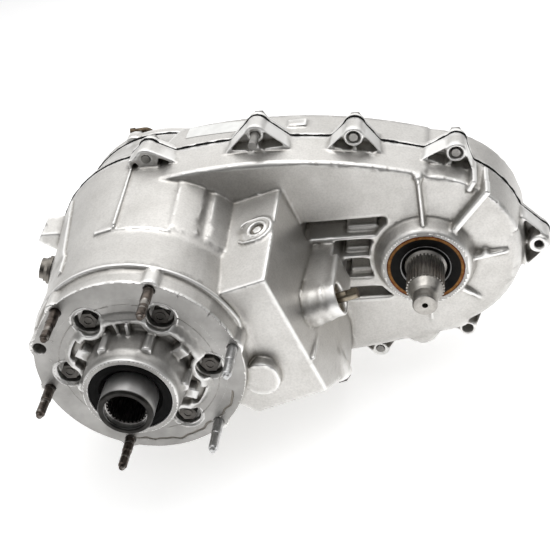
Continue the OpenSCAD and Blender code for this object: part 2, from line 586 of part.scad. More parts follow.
// ---------- shift mechanism ----------
module sector_shaft() color("#8a7a52") blk() {
  uc(7, 124, 174, 73, -38);
  difference() { uc(5.2, 173, 194, 73, -38); translate([184,60,-35]) cube([20,26,10]); }
  uc(8.6, 170.5, 172.5, 73, -38);
}
module sector_plate() color(STEEL) blk() difference() {
  union() {
    intersection() {
      uc(37.5, 124.5, 129.5, 73, -38);
      translate([120,28,-80]) cube([20,90,52]);
    }
    uc(13, 120, 129.5, 73, -38);
  }
  uc(7, 110, 140, 73, -38);
  translate([118,73-5.6,-82]) cube([20,11.2,24]);
}
module shaft_retainer() color("#a88b45") blk() difference() { uc(13.3, 168.2, 170.2, 73, -38); uc(7.1, 160, 180, 73, -38); }
module detent_plunger() color(BRIGHT) blk() { vc(5, -93.5, -81.2, 127, 68); translate([127,68,-81.2]) sphere(r=4.9); }
module detent_spring() color(STEEL) blk() difference() { vc(4.8, -105.8, -95.2, 127, 68); vc(3.4, -110, -90, 127, 68); }
module detent_plug() color(DARK) blk() difference() { vc(5.08, -119, -106, 127, 68); translate([127,68,-120]) cylinder(r=3.5, h=7, $fn=6); }
module switch_port_plug() color(DARK) blk() { vc(6.95, -130, -119, 137, 82); translate([137,82,-135.6]) cylinder(r=14/sqrt(3), h=6.4, $fn=6); }
module drain_plug() color(DARK) { yc(8.9, 226.5, 243, 165, -88); difference() { yc(12, 242.2, 246, 165, -88); translate([165-5,241,-93]) cube([10,10,10]); } }
module fill_plug() color(DARK) { yc(8.9, 226.5, 243, 172, 74); difference() { yc(12, 242.2, 246, 172, 74); translate([172-5,241,69]) cube([10,10,10]); } }
module indicator_switch() color("#6f655a") rotate([0,-160,0]) translate([0,112,0]) {
  translate([96,0,0]) rotate([0,90,0]) cylinder(r=6.9, h=16);
  translate([110.2,0,0]) rotate([0,90,0]) cylinder(r=14, h=3);
  translate([113,0,0]) rotate([0,90,0]) cylinder(r=22/sqrt(3), h=3.4, $fn=6);
  difference() {
    translate([116.2,0,0]) rotate([0,90,0]) cylinder(r=10.4, h=4.6);
    translate([117.4,0,0]) rotate([0,90,0]) cylinder(r=8.8, h=5);
  }
}
module breather_tube(r, e) translate([-20.5,270,0]) rotate([0,0,6]) {
  translate([0,0,72-e]) cylinder(r=r, h=17.5+e);
  translate([-8,0,89.5]) rotate([90,0,0]) rotate_extrude(angle=90) translate([8,0]) circle(r=r, $fn=48);
  translate([-8,0,97.5]) rotate([0,-90,0]) cylinder(r=r, h=14.5+e);
}
module case_breather() color("#7a6a50") difference() {
  union() {
    breather_tube(3.05, 0);
    translate([-20.5,270,87.2]) cylinder(r=6.2, h=3.6);
    translate([-20.5,270,0]) rotate([0,0,6]) translate([-17.5,0,97.5]) rotate([0,-90,0]) cylinder(r=4.1, h=5);
  }
  breather_tube(2, 1);
}
module locating_dowels() color(BRIGHT) for (i=DOWELS) yt(6.5, 4.4, 176, 187.5, EARS[i][1][0], EARS[i][1][1]);
module chip_magnet() color(DARK) translate([110,205,-109.6]) cube([24,14,4], center=true);
module label_plate() color("white") intersection() {
  difference() {
    yx(197, 220) outline(-0.35);
    yx(196, 221) outline(0);
  }
  translate([62.5,208.6,120]) rotate([0,0,-4]) cube([57,19.5,60], center=true);
}

front_case();
rear_case();
extension_housing();
input_retainer();
case_sealant();
extension_sealant();
mounting_studs();
retainer_bolts();
case_bolts();
extension_bolts();
input_seal();
input_bearing();
input_gear();
ring_gear();
planet_carrier();
planet_gear_1();
planet_gear_2();
planet_gear_3();
planet_gear_4();
planet_gear_5();
planet_gear_6();
planet_pins();
range_sleeve();
range_fork();
main_shaft();
mode_hub();
mode_sleeve();
mode_fork();
shift_rail();
drive_sprocket();
drive_chain();
driven_sprocket();
front_output_shaft();
front_output_seal();
front_output_bearing();
output_rear_bearing();
main_rear_bearing();
oil_pump();
pickup_tube();
speed_ring();
speed_sensor();
rear_seal();
rear_bushing();
sector_shaft();
sector_plate();
shaft_retainer();
detent_plunger();
detent_spring();
detent_plug();
switch_port_plug();
drain_plug();
fill_plug();
indicator_switch();
case_breather();
locating_dowels();
chip_magnet();
label_plate();
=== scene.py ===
import json
import math
import bpy
import numpy as np
import openvdb as vdb
from mathutils import Matrix, Vector


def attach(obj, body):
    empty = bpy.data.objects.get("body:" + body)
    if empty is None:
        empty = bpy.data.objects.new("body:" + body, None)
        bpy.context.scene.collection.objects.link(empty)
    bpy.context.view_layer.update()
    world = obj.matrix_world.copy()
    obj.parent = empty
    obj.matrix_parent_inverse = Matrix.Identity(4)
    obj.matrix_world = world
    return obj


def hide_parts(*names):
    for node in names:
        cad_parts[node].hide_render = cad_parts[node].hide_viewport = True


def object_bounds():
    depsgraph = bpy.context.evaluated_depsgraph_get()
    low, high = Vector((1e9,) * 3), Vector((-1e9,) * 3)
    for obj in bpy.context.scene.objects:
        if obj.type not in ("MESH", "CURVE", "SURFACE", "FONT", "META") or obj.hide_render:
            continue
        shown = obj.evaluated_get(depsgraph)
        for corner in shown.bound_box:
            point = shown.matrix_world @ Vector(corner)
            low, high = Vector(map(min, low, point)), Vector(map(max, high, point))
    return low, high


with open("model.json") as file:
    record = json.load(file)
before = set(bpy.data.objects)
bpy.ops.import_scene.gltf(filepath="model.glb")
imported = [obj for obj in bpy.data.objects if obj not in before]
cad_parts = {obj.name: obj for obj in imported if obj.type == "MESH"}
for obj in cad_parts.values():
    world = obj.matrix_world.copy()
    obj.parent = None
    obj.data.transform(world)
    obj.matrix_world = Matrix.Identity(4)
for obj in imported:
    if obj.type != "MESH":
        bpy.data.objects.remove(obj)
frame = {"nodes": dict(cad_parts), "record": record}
cad_lo, cad_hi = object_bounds()
NODES = frame["nodes"]


# ------------------------------------------------------------------ materials
class Mat:
    """A node material with one Principled shader, in object coordinates of metres."""

    def __init__(self, name, metallic=0.0, rough=0.5, spec=0.5, coat=0.0, coat_rough=0.1):
        self.m = bpy.data.materials.new(name)
        self.m.use_nodes = True
        self.t = self.m.node_tree
        self.t.nodes.clear()
        self.out = self.t.nodes.new("ShaderNodeOutputMaterial")
        self.b = self.t.nodes.new("ShaderNodeBsdfPrincipled")
        self.t.links.new(self.b.outputs[0], self.out.inputs[0])
        self.b.inputs["Metallic"].default_value = metallic
        self.b.inputs["Roughness"].default_value = rough
        self.b.inputs["Specular IOR Level"].default_value = spec
        self.b.inputs["Coat Weight"].default_value = coat
        self.b.inputs["Coat Roughness"].default_value = coat_rough
        self.tc = self.t.nodes.new("ShaderNodeTexCoord").outputs["Object"]
        self.height = None

    def node(self, kind, **inputs):
        n = self.t.nodes.new(kind)
        for k, v in inputs.items():
            k = k.replace("_", " ")
            if hasattr(v, "links"):
                self.t.links.new(v, n.inputs[k])
            else:
                n.inputs[k].default_value = v
        return n

    def noise(self, scale, detail=3.0, rough=0.55, vec=None, dist=0.0):
        n = self.node("ShaderNodeTexNoise", Scale=scale, Detail=detail, Roughness=rough, Distortion=dist)
        self.t.links.new(vec or self.tc, n.inputs["Vector"])
        return n.outputs["Fac"]

    def voronoi(self, scale, feature="F1", vec=None, out="Distance"):
        n = self.t.nodes.new("ShaderNodeTexVoronoi")
        n.feature = feature
        n.inputs["Scale"].default_value = scale
        self.t.links.new(vec or self.tc, n.inputs["Vector"])
        return n.outputs[out]

    def stretch(self, sx, sy, sz):
        n = self.t.nodes.new("ShaderNodeMapping")
        n.inputs["Scale"].default_value = (sx, sy, sz)
        self.t.links.new(self.tc, n.inputs["Vector"])
        return n.outputs[0]

    def radius(self, cx, cz):
        """Distance from the line along Y through (cx, cz), in metres."""
        v = self.node("ShaderNodeVectorMath")
        v.operation = "SUBTRACT"
        self.t.links.new(self.tc, v.inputs[0])
        v.inputs[1].default_value = (cx, 0, cz)
        w = self.node("ShaderNodeVectorMath")
        w.operation = "MULTIPLY"
        self.t.links.new(v.outputs[0], w.inputs[0])
        w.inputs[1].default_value = (1, 0, 1)
        q = self.node("ShaderNodeVectorMath")
        q.operation = "LENGTH"
        self.t.links.new(w.outputs[0], q.inputs[0])
        return q.outputs["Value"]

    def axis(self, i):
        n = self.node("ShaderNodeSeparateXYZ")
        self.t.links.new(self.tc, n.inputs[0])
        return n.outputs[i]

    def step(self, v, lo, hi):
        n = self.t.nodes.new("ShaderNodeMapRange")
        n.inputs["From Min"].default_value = lo
        n.inputs["From Max"].default_value = hi
        self.t.links.new(v, n.inputs["Value"])
        return n.outputs[0]

    def attr(self, name):
        n = self.t.nodes.new("ShaderNodeAttribute")
        n.attribute_name = name
        return n.outputs["Fac"]

    def ramp(self, fac, *stops):
        n = self.t.nodes.new("ShaderNodeValToRGB")
        el = n.color_ramp.elements
        while len(el) > 2:
            el.remove(el[-1])
        for i, (p, c) in enumerate(stops):
            e = el[i] if i < 2 else el.new(p)
            e.position = p
            c = (c, c, c) if not hasattr(c, "__len__") else c
            e.color = (*c, 1.0)
        self.t.links.new(fac, n.inputs["Fac"])
        return n.outputs["Color"]

    def math(self, op, a, b=None, clamp=False):
        n = self.t.nodes.new("ShaderNodeMath")
        n.operation = op
        n.use_clamp = clamp
        for i, v in enumerate([a, b]):
            if v is None:
                continue
            if hasattr(v, "links"):
                self.t.links.new(v, n.inputs[i])
            else:
                n.inputs[i].default_value = v
        return n.outputs[0]

    def mix(self, fac, a, b, blend="MIX"):
        n = self.t.nodes.new("ShaderNodeMix")
        n.data_type = "RGBA"
        n.blend_type = blend
        for i, v in ((0, fac), (6, a), (7, b)):
            if hasattr(v, "links"):
                self.t.links.new(v, n.inputs[i])
            elif i == 0:
                n.inputs[i].default_value = v
            else:
                n.inputs[i].default_value = (*v, 1.0)
        return n.outputs[2]

    def color(self, socket):
        self.t.links.new(socket, self.b.inputs["Base Color"])

    def roughness(self, fac, lo, hi):
        n = self.t.nodes.new("ShaderNodeMapRange")
        n.inputs["To Min"].default_value = lo
        n.inputs["To Max"].default_value = hi
        self.t.links.new(fac, n.inputs["Value"])
        self.t.links.new(n.outputs[0], self.b.inputs["Roughness"])

    def bump(self, height, dist, strength=1.0):
        n = self.t.nodes.new("ShaderNodeBump")
        n.inputs["Strength"].default_value = strength
        n.inputs["Distance"].default_value = dist
        self.t.links.new(height, n.inputs["Height"])
        if self.height is not None:
            self.t.links.new(self.height, n.inputs["Normal"])
        self.height = n.outputs[0]
        self.t.links.new(self.height, self.b.inputs["Normal"])


def cast_aluminium(name="cast_aluminium", k=1.0):
    m = Mat(name, metallic=0.88, rough=0.4)
    big = m.noise(26, 4, 0.6)
    small = m.noise(520, 3, 0.65)
    tone = m.ramp(big, (0.30, (0.55 * k, 0.535 * k, 0.51 * k)), (0.55, (0.62 * k, 0.605 * k, 0.58 * k)), (0.75, (0.67 * k, 0.655 * k, 0.63 * k)))
    grit = m.ramp(small, (0.28, 0.84), (0.62, 1.0))
    col = m.mix(1.0, tone, grit, "MULTIPLY")
    # painted shade darkens the inner corners and a painted highlight whitens the outer edges, both read from the
    # edge attribute
    e = m.attr("edge")
    col = m.mix(1.0, col, m.ramp(m.step(e, -0.55, -0.05), (0.0, (0.42, 0.40, 0.37)), (1.0, (1.0, 1.0, 1.0))), "MULTIPLY")
    col = m.mix(m.step(e, 0.10, 0.46), col, (0.88 * k ** 0.5, 0.87 * k ** 0.5, 0.85 * k ** 0.5))
    m.color(col)
    m.roughness(m.noise(75, 4, 0.6), 0.30, 0.50)
    m.bump(m.noise(110, 3, 0.5), 0.0004, 0.25)
    m.bump(m.noise(1500, 2, 0.6), 0.00012, 0.5)
    return m.m


def machined_aluminium():
    m = Mat("machined_aluminium", metallic=0.95, rough=0.35)
    big = m.noise(30, 4, 0.6)
    col = m.ramp(big, (0.30, (0.27, 0.263, 0.252)), (0.70, (0.43, 0.42, 0.406)))
    # fine turning lines round the main axis
    r = m.radius(0.0, 0.0)
    w = m.node("ShaderNodeMath")
    w.operation = "SINE"
    m.t.links.new(m.math("MULTIPLY", r, 9000.0), w.inputs[0])
    m.color(col)
    m.roughness(m.noise(90, 4, 0.6), 0.30, 0.46)
    m.bump(w.outputs[0], 0.00002, 0.5)
    m.bump(m.noise(900, 2, 0.5), 0.00008, 0.3)
    return m.m


def steel(name, dark, light, r0, r1, grime=0.3, metallic=0.95, scale=60):
    m = Mat(name, metallic=metallic, rough=r0)
    tone = m.ramp(m.noise(scale, 4, 0.6), (0.32, dark), (0.68, light))
    dirt = m.ramp(m.noise(scale * 2.2, 5, 0.7), (0.35, 1.0 - grime), (0.6, 1.0))
    m.color(m.mix(1.0, tone, dirt, "MULTIPLY"))
    m.roughness(m.noise(scale * 1.5, 3, 0.6), r0, r1)
    m.bump(m.noise(1300, 2, 0.5), 0.00006, 0.4)
    return m.m


def rubber(name, dark, light, spec=0.5):
    m = Mat(name, metallic=0.0, rough=0.5, spec=spec)
    m.color(m.ramp(m.noise(90, 4, 0.6), (0.3, dark), (0.7, light)))
    m.roughness(m.noise(160, 3, 0.6), 0.38, 0.62)
    m.bump(m.noise(700, 2, 0.5), 0.0001, 0.4)
    return m.m


def zoned(name, steps, r0, r1, metallic=0.95, scale=60, grime=0.3):
    """Steel whose tone changes with the place: steps is a list of (mask, dark, light)."""
    m = Mat(name, metallic=metallic, rough=r0)
    n = m.noise(scale, 4, 0.6)
    col = None
    for mask, dark, light in steps(m):
        tone = m.ramp(n, (0.32, dark), (0.68, light))
        col = tone if col is None else m.mix(mask, col, tone)
    dirt = m.ramp(m.noise(scale * 2.2, 5, 0.7), (0.35, 1.0 - grime), (0.6, 1.0))
    m.color(m.mix(1.0, col, dirt, "MULTIPLY"))
    m.roughness(m.noise(scale * 1.5, 3, 0.6), r0, r1)
    m.bump(m.noise(1300, 2, 0.5), 0.00006, 0.4)
    return m.m


def band(m, v, a, b, soft=0.0004):
    """1 where a < v < b."""
    return m.math("MULTIPLY", m.step(v, a - soft, a + soft), m.step(v, b + soft, b - soft))


def input_gear_steel():
    def steps(m):
        y, r = m.axis(1), m.radius(0, 0)
        yield None, (0.68, 0.67, 0.66), (0.88, 0.87, 0.86)
        # black rim and bore at the front end
        yield m.math("MULTIPLY", m.step(y, -0.0546, -0.0562), m.step(r, 0.0185, 0.0195)), (0.016, 0.015, 0.014), (0.045, 0.043, 0.04)
        yield m.step(r, 0.0192, 0.0186), (0.10, 0.095, 0.09), (0.26, 0.25, 0.24)
    return zoned("input_gear_steel", steps, 0.27, 0.40, scale=70, grime=0.0)


def stud_steel():
    def steps(m):
        x, z, y = m.axis(0), m.axis(2), m.axis(1)
        yield None, (0.045, 0.036, 0.03), (0.17, 0.14, 0.12)
        # worn bands along the studs
        yield m.ramp(m.noise(240, 2, 0.5, vec=m.stretch(0.25, 1.0, 0.25)), (0.56, 0.0), (0.64, 0.75)), (0.30, 0.28, 0.26), (0.48, 0.46, 0.43)
        # the two newer ones on the right
        yield m.step(x, 0.045, 0.047), (0.50, 0.50, 0.50), (0.72, 0.72, 0.72)
    return zoned("stud_steel", steps, 0.22, 0.42, scale=150, metallic=0.9)


def case_bolt_steel():
    def steps(m):
        yield None, (0.22, 0.21, 0.20), (0.40, 0.39, 0.37)
        # the one beside the breather is as pale as the casting
        yield m.math("MULTIPLY", m.step(m.axis(0), 0.030, 0.020), m.step(m.axis(2), 0.09, 0.10)), (0.42, 0.41, 0.39), (0.60, 0.59, 0.57)
    return zoned("case_bolt_steel", steps, 0.26, 0.45)


def output_seal_rubber():
    m = Mat("output_seal", metallic=0.0, rough=0.5, spec=0.06)
    r = m.radius(0.257, 0.0)
    col = m.ramp(m.noise(90, 4, 0.6), (0.3, (0.003, 0.003, 0.003)), (0.7, (0.010, 0.009, 0.008)))
    col = m.mix(band(m, r, 0.0335, 0.0362), col, m.ramp(m.noise(160, 4, 0.6), (0.35, (0.16, 0.055, 0.015)), (0.7, (0.40, 0.20, 0.06))))
    col = m.mix(band(m, r, 0.0361, 0.040), col, m.ramp(m.noise(60, 3, 0.6), (0.4, (0.22, 0.012, 0.006)), (0.62, (0.10, 0.05, 0.02))))
    col = m.mix(band(m, r, 0.0232, 0.0242, 0.0002), col, m.ramp(m.noise(60, 3, 0.6), (0.4, 0.35), (0.62, 0.5)))
    m.color(col)
    m.roughness(m.noise(160, 3, 0.6), 0.3, 0.5)
    m.bump(m.noise(700, 2, 0.5), 0.0001, 0.4)
    return m.m


MATS = {
    "cast_aluminium": cast_aluminium(),
    "machined_aluminium": machined_aluminium(),
    "sealant": rubber("sealant", (0.003, 0.003, 0.003), (0.010, 0.010, 0.010), 0.2),
    "dark_steel": steel("dark_steel", (0.045, 0.042, 0.038), (0.13, 0.12, 0.11), 0.28, 0.45, metallic=0.85),
    "bolt_steel": steel("bolt_steel", (0.22, 0.21, 0.20), (0.40, 0.39, 0.37), 0.26, 0.45),
    "seal_rubber": rubber("seal_rubber", (0.002, 0.002, 0.002), (0.006, 0.0058, 0.0055), 0.06),
    "bearing_steel": steel("bearing_steel", (0.55, 0.55, 0.55), (0.70, 0.70, 0.70), 0.12, 0.22, grime=0.1),
    "machined_steel": steel("machined_steel", (0.30, 0.285, 0.265), (0.48, 0.46, 0.43), 0.25, 0.42),
    "yellow_zinc": steel("yellow_zinc", (0.26, 0.18, 0.09), (0.50, 0.37, 0.18), 0.28, 0.5, scale=120),
    "bronze": steel("bronze", (0.38, 0.26, 0.12), (0.55, 0.40, 0.20), 0.25, 0.4),
    "black_plastic": rubber("black_plastic", (0.012, 0.012, 0.013), (0.035, 0.035, 0.037)),
    "brown_metal": steel("brown_metal", (0.11, 0.10, 0.09), (0.30, 0.28, 0.25), 0.3, 0.5),
    "white_label": rubber("white_label", (0.72, 0.72, 0.70), (0.85, 0.85, 0.83)),
}
OWN = {"input_gear": input_gear_steel(), "mounting_studs": stud_steel(), "front_output_seal": output_seal_rubber(), "case_bolts": case_bolt_steel(),
       "sector_shaft": steel("shaft_steel", (0.15, 0.125, 0.09), (0.40, 0.35, 0.27), 0.24, 0.4),
       "case_breather": steel("breather_steel", (0.06, 0.043, 0.028), (0.20, 0.15, 0.10), 0.38, 0.6, scale=120)}
slot_of = {s["node"]: s["material_slot"] for s in frame["record"]["subparts"]}
for name, o in NODES.items():
    o.data.materials.clear()
    o.data.materials.append(OWN.get(name, MATS[slot_of[name]]))

# ------------------------------------------------------------------ castings
# The CAD shape of each casting is turned into a level set, in millimetres,
# given the radii and fillets of a sand or die casting, and meshed again.
def node_arrays(name, ys=None):
    o = NODES[name]
    me = o.data
    v = np.empty(len(me.vertices) * 3, np.float32)
    me.vertices.foreach_get("co", v)
    m = np.array(o.matrix_world, np.float32)
    v = (v.reshape(-1, 3) @ m[:3, :3].T + m[:3, 3]) * 1000
    if ys:
        v[:, 1] = (v[:, 1] - ys[0]) * ys[1] + ys[0]
    me.calc_loop_triangles()
    f = np.empty(len(me.loop_triangles) * 3, np.int32)
    me.loop_triangles.foreach_get("vertices", f)
    return v, f.reshape(-1, 3)


def gauss(sigma):
    r = max(1, int(math.ceil(sigma * 2.4)))
    x = np.arange(-r, r + 1)
    k = np.exp(-x * x / (2.0 * sigma * sigma))
    return (k / k.sum()).astype(np.float32)


def blur(a, k):
    r = len(k) // 2
    for ax in range(3):
        b = a * k[r]
        for i in range(1, r + 1):
            lo, hi = [slice(None)] * 3, [slice(None)] * 3
            lo[ax], hi[ax] = slice(i, None), slice(None, -i)
            b[tuple(hi)] += k[r + i] * a[tuple(lo)]
            b[tuple(lo)] += k[r - i] * a[tuple(hi)]
            for end in (slice(-i, None), slice(None, i)):
                e = [slice(None)] * 3
                e[ax] = end
                b[tuple(e)] += k[r + i] * a[tuple(e)]
        a = b
    return a


def smin(a, b, k):
    h = np.maximum(k - np.abs(a - b), 0.0) / k
    return np.minimum(a, b) - h * h * (k * 0.25)


def ramp01(x, a, b):
    t = np.clip((x - a) / (b - a), 0.0, 1.0)
    return t * t * (3 - 2 * t)


def waves(x, z, length, seed, n=7):
    r = np.random.RandomState(seed)
    s = 0.0
    for _ in range(n):
        a = r.uniform(0, 2 * math.pi)
        w = 2 * math.pi / (length * r.uniform(0.6, 1.7))
        s = s + np.sin(w * (math.cos(a) * x + math.sin(a) * z) + r.uniform(0, 6.28))
    return s / math.sqrt(n * 0.5)


class Cast:
    def __init__(self, node, vox, small=0.9, big=2.5, band=9, ys=None):
        self.node, self.vox = node, vox
        v, f = node_arrays(node, ys)
        self.lo = v.min(0) - 6.0
        hi = v.max(0) + 6.0
        n = np.ceil((hi - self.lo) / vox).astype(int) + 1
        self.tr = vdb.createLinearTransform(voxelSize=vox)
        g = vdb.FloatGrid.createLevelSetFromPolygons(
            np.ascontiguousarray(v - self.lo, np.float32), triangles=np.ascontiguousarray(f, np.uint32),
            transform=self.tr, halfWidth=float(band))
        a = np.empty(tuple(n), np.float32)
        g.copyToArray(a)
        self.X = (self.lo[0] + vox * np.arange(n[0], dtype=np.float32))[:, None, None]
        self.Y = (self.lo[1] + vox * np.arange(n[1], dtype=np.float32))[None, :, None]
        self.Z = (self.lo[2] + vox * np.arange(n[2], dtype=np.float32))[None, None, :]
        self.raw = a
        self.bs = blur(a, gauss(small / vox))
        self.bl = blur(a, gauss(big / vox))
        self.a = np.minimum(self.bs, self.bl)
        self.bg = float(vox * band)

    def soften(self, w):
        """Round the outer edges as well, by the weight w from 0 to 1."""
        self.a += w * (self.bl - self.a)

    def keep(self, w):
        """Leave the inner corners sharp where w is 1."""
        self.a += w * (self.bs - self.a)

    def part(self, lo, hi):
        s = []
        for i in range(3):
            i0 = int(max(0, math.floor((lo[i] - self.lo[i]) / self.vox)))
            i1 = int(min(self.a.shape[i], math.ceil((hi[i] - self.lo[i]) / self.vox) + 1))
            s.append(slice(i0, i1))
        s = tuple(s)
        return s, self.X[s[0]], self.Y[:, s[1]], self.Z[:, :, s[2]]

    def add(self, fn, lo, hi, k=3.0):
        s, x, y, z = self.part(lo, hi)
        self.a[s] = smin(self.a[s], fn(x, y, z), k)

    def emboss(self, fn, h, lo, hi, k=0.8):
        """Raise the surface by h where fn is negative."""
        s, x, y, z = self.part(lo, hi)
        self.a[s] = smin(self.a[s], np.maximum(self.bs[s] - h, fn(x, y, z)), k)

    def cut(self, fn, lo, hi, k=1.0):
        s, x, y, z = self.part(lo, hi)
        self.a[s] = -smin(-self.a[s], fn(x, y, z), k)

    def sample(self, g, p):
        q = (p - self.lo) / self.vox
        n = np.array(g.shape)
        q = np.clip(q, 0, n - 1.001)
        i = q.astype(int)
        t = (q - i).astype(np.float32)
        out = 0.0
        for dx in (0, 1):
            for dy in (0, 1):
                for dz in (0, 1):
                    w = (t[:, 0] if dx else 1 - t[:, 0]) * (t[:, 1] if dy else 1 - t[:, 1]) * (t[:, 2] if dz else 1 - t[:, 2])
                    out = out + w * g[i[:, 0] + dx, i[:, 1] + dy, i[:, 2] + dz]
        return out

    def mesh(self, name, mats, flats=(), adapt=0.25, ys=None):
        g = vdb.FloatGrid(self.bg)
        np.clip(self.a, -self.bg, self.bg, out=self.a)
        g.copyFromArray(np.ascontiguousarray(self.a), tolerance=0.0)
        g.transform = self.tr
        P, T, Q = g.convertToPolygons(isovalue=0.0, adaptivity=adapt)
        P = np.asarray(P, np.float64) + self.lo
        T = np.asarray(T, np.int64).reshape(-1, 3)
        Q = np.asarray(Q, np.int64).reshape(-1, 4)
        # leave out the small loose islands
        lab = np.arange(len(P))
        E = np.concatenate([T[:, [0, 1]], T[:, [1, 2]], Q[:, [0, 1]], Q[:, [1, 2]], Q[:, [2, 3]]])
        for _ in range(400):
            m = np.minimum(lab[E[:, 0]], lab[E[:, 1]])
            new = lab.copy()
            np.minimum.at(new, E[:, 0], m)
            np.minimum.at(new, E[:, 1], m)
            new = new[new]
            new = new[new]
            if np.array_equal(new, lab):
                break
            lab = new
        u, inv, cnt = np.unique(lab, return_inverse=True, return_counts=True)
        good = cnt[inv] > 400
        T, Q = T[good[T[:, 0]]], Q[good[Q[:, 0]]]
        idx = np.cumsum(good) - 1
        T, Q, P = idx[T], idx[Q], P[good]
        # outward faces
        h = self.vox * 0.7
        grad = np.stack([self.sample(self.a, P + d) - self.sample(self.a, P - d)
                         for d in (np.array([h, 0, 0]), np.array([0, h, 0]), np.array([0, 0, h]))], 1)
        grad /= np.maximum(np.linalg.norm(grad, axis=1, keepdims=True), 1e-6)
        F = Q if len(Q) > len(T) else T
        c = np.cross(P[F[:, 1]] - P[F[:, 0]], P[F[:, 2]] - P[F[:, 0]])
        if (c * grad[F[:, 0]]).sum() < 0:
            T, Q = T[:, ::-1], Q[:, ::-1]
        # blurred level set at each point: below zero in inner corners, above zero on outer edges; the cast
        # materials paint shade and highlight from it
        edge = self.sample(blur(self.a, gauss(1.8 / self.vox)), P)
        nt, nq = len(T), len(Q)
        loops = np.concatenate([T.ravel(), Q.ravel()])
        start = np.concatenate([3 * np.arange(nt), 3 * nt + 4 * np.arange(nq)])
        me = bpy.data.meshes.new(name)
        if ys:
            P[:, 1] = (P[:, 1] - ys[0]) / ys[1] + ys[0]
            grad[:, 1] *= ys[1]
            grad /= np.linalg.norm(grad, axis=1, keepdims=True)
        me.vertices.add(len(P))
        me.vertices.foreach_set("co", (P / 1000).astype(np.float32).ravel())
        me.loops.add(len(loops))
        me.loops.foreach_set("vertex_index", loops.astype(np.int32))
        me.polygons.add(nt + nq)
        me.polygons.foreach_set("loop_start", start.astype(np.int32))
        me.update(calc_edges=True)
        for m in mats:
            me.materials.append(m)
        N = grad[loops]
        if flats:
            size = np.concatenate([np.full(nt, 3), np.full(nq, 4)])
            cen = np.concatenate([P[T].mean(1), P[Q].mean(1)])
            fn = np.concatenate([np.cross(P[T[:, 1]] - P[T[:, 0]], P[T[:, 2]] - P[T[:, 0]]),
                                 np.cross(P[Q[:, 2]] - P[Q[:, 0]], P[Q[:, 3]] - P[Q[:, 1]])])
            fn /= np.maximum(np.linalg.norm(fn, axis=1, keepdims=True), 1e-9)
            mi = np.zeros(nt + nq, np.int32)
            for test in flats:
                ok, n = test(cen, fn)
                mi[ok] = 1
                if n is not None:
                    N[np.repeat(ok, size)] = n
            me.polygons.foreach_set("material_index", mi)
        at = me.attributes.new("edge", "FLOAT", "POINT")
        at.data.foreach_set("value", edge.astype(np.float32))
        me.polygons.foreach_set("use_smooth", np.ones(nt + nq, bool))
        me.normals_split_custom_set(N.astype(np.float32))
        me.validate()
        o = bpy.data.objects.new(name, me)
        bpy.context.scene.collection.objects.link(o)
        print("cast", name, len(P), "points", nt + 2 * nq, "triangles")
        return o


def plane_y(y, r0, r1, cx=0.0, cz=0.0, ny=-1.0, tol=0.3, up=0.9):
    """Faces on a machined ring facing along Y."""
    def test(c, n):
        r = np.hypot(c[:, 0] - cx, c[:, 2] - cz)
        return (np.abs(c[:, 1] - y) < tol) & (r > r0) & (r < r1) & (n[:, 1] * ny > up), (0.0, ny, 0.0)
    return test


CASTM = [MATS["cast_aluminium"], MATS["machined_aluminium"]]
# the retainer's cast aluminium is darker: partly its own greyer, less blasted tone, partly painted shade from the
# hub
RETM = [cast_aluminium("cast_aluminium_grey_shaded", 0.72), MATS["machined_aluminium"]]


def torus(cx, cz, y0, big, small):
    """Ring round the line along Y through (cx, cz)."""
    return lambda x, y, z: np.hypot(np.hypot(x - cx, z - cz) - big, y - y0) - small


def disc(cx, cz, r, y0, y1):
    return lambda x, y, z: np.maximum(np.hypot(x - cx, z - cz) - r, np.maximum(y0 - y, y - y1))


def capsule(a, b, r):
    a, b = np.array(a, float), np.array(b, float)
    d = b - a
    q = float(d @ d)

    def fn(x, y, z):
        t = np.clip(((x - a[0]) * d[0] + (y - a[1]) * d[1] + (z - a[2]) * d[2]) / q, 0, 1)
        return np.sqrt((x - a[0] - t * d[0]) ** 2 + (y - a[1] - t * d[1]) ** 2 + (z - a[2] - t * d[2]) ** 2) - r
    return fn


def wavy_ring(r0, y0, size, a0, a1):
    """Uneven line on a face, round the main axis from angle a0 to a1 in degrees."""
    def fn(x, y, z):
        t = np.arctan2(z, x)
        r = r0 + 1.1 * np.sin(9 * t + 0.6) + 0.8 * np.sin(23 * t + 1.0) + 0.5 * np.sin(41 * t)
        g = np.degrees(t)
        out = np.maximum(np.maximum(a0 - g, g - a1), 0.0) * 0.6
        return np.hypot(np.hypot(x, z) - r, y - y0) - size + out
    return fn


def put(o, *nodes):
    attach(o, "case")
    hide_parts(*nodes)
    return o


def block(x, z):
    """Across and along the slanted shift housing, from x and z."""
    return x * 0.9622 + z * 0.2723, z * 0.9622 - x * 0.2723


def pad_ring(x, y, z):
    u, v = block(x, z)
    c8, s8 = math.cos(math.radians(8.4)), math.sin(math.radians(8.4))
    return u - 129.5, (y - 93) * c8 + (v - 38) * s8, (v - 38) * c8 - (y - 93) * s8


# front case
FINE = 0.0
c = Cast("front_case", 0.93 + FINE * 0.57, small=0.75, big=1.55)
inside = (np.hypot(c.X, c.Z) < 97) & (c.Y > 16) & (c.Y < 140)
inside = inside | ((c.Y > 158) & (np.hypot(c.X, c.Z) < 108)) | ((c.Y > 160) & (np.abs(c.X - 130) < 140) & (np.abs(c.Z) < 100))
sharp = inside | ((c.Y > 158) & (c.Y < 179) & (np.hypot(c.X, c.Z) > 119) & ((np.abs(c.Z) > 97) | (c.X > 352) | (c.X < -112)))
bu, bv = block(c.X, c.Z)
sharp = sharp | ((np.hypot(c.Y - 73, bv + 38) < 25) & (bu > 122))
c.keep(sharp.astype(np.float32))
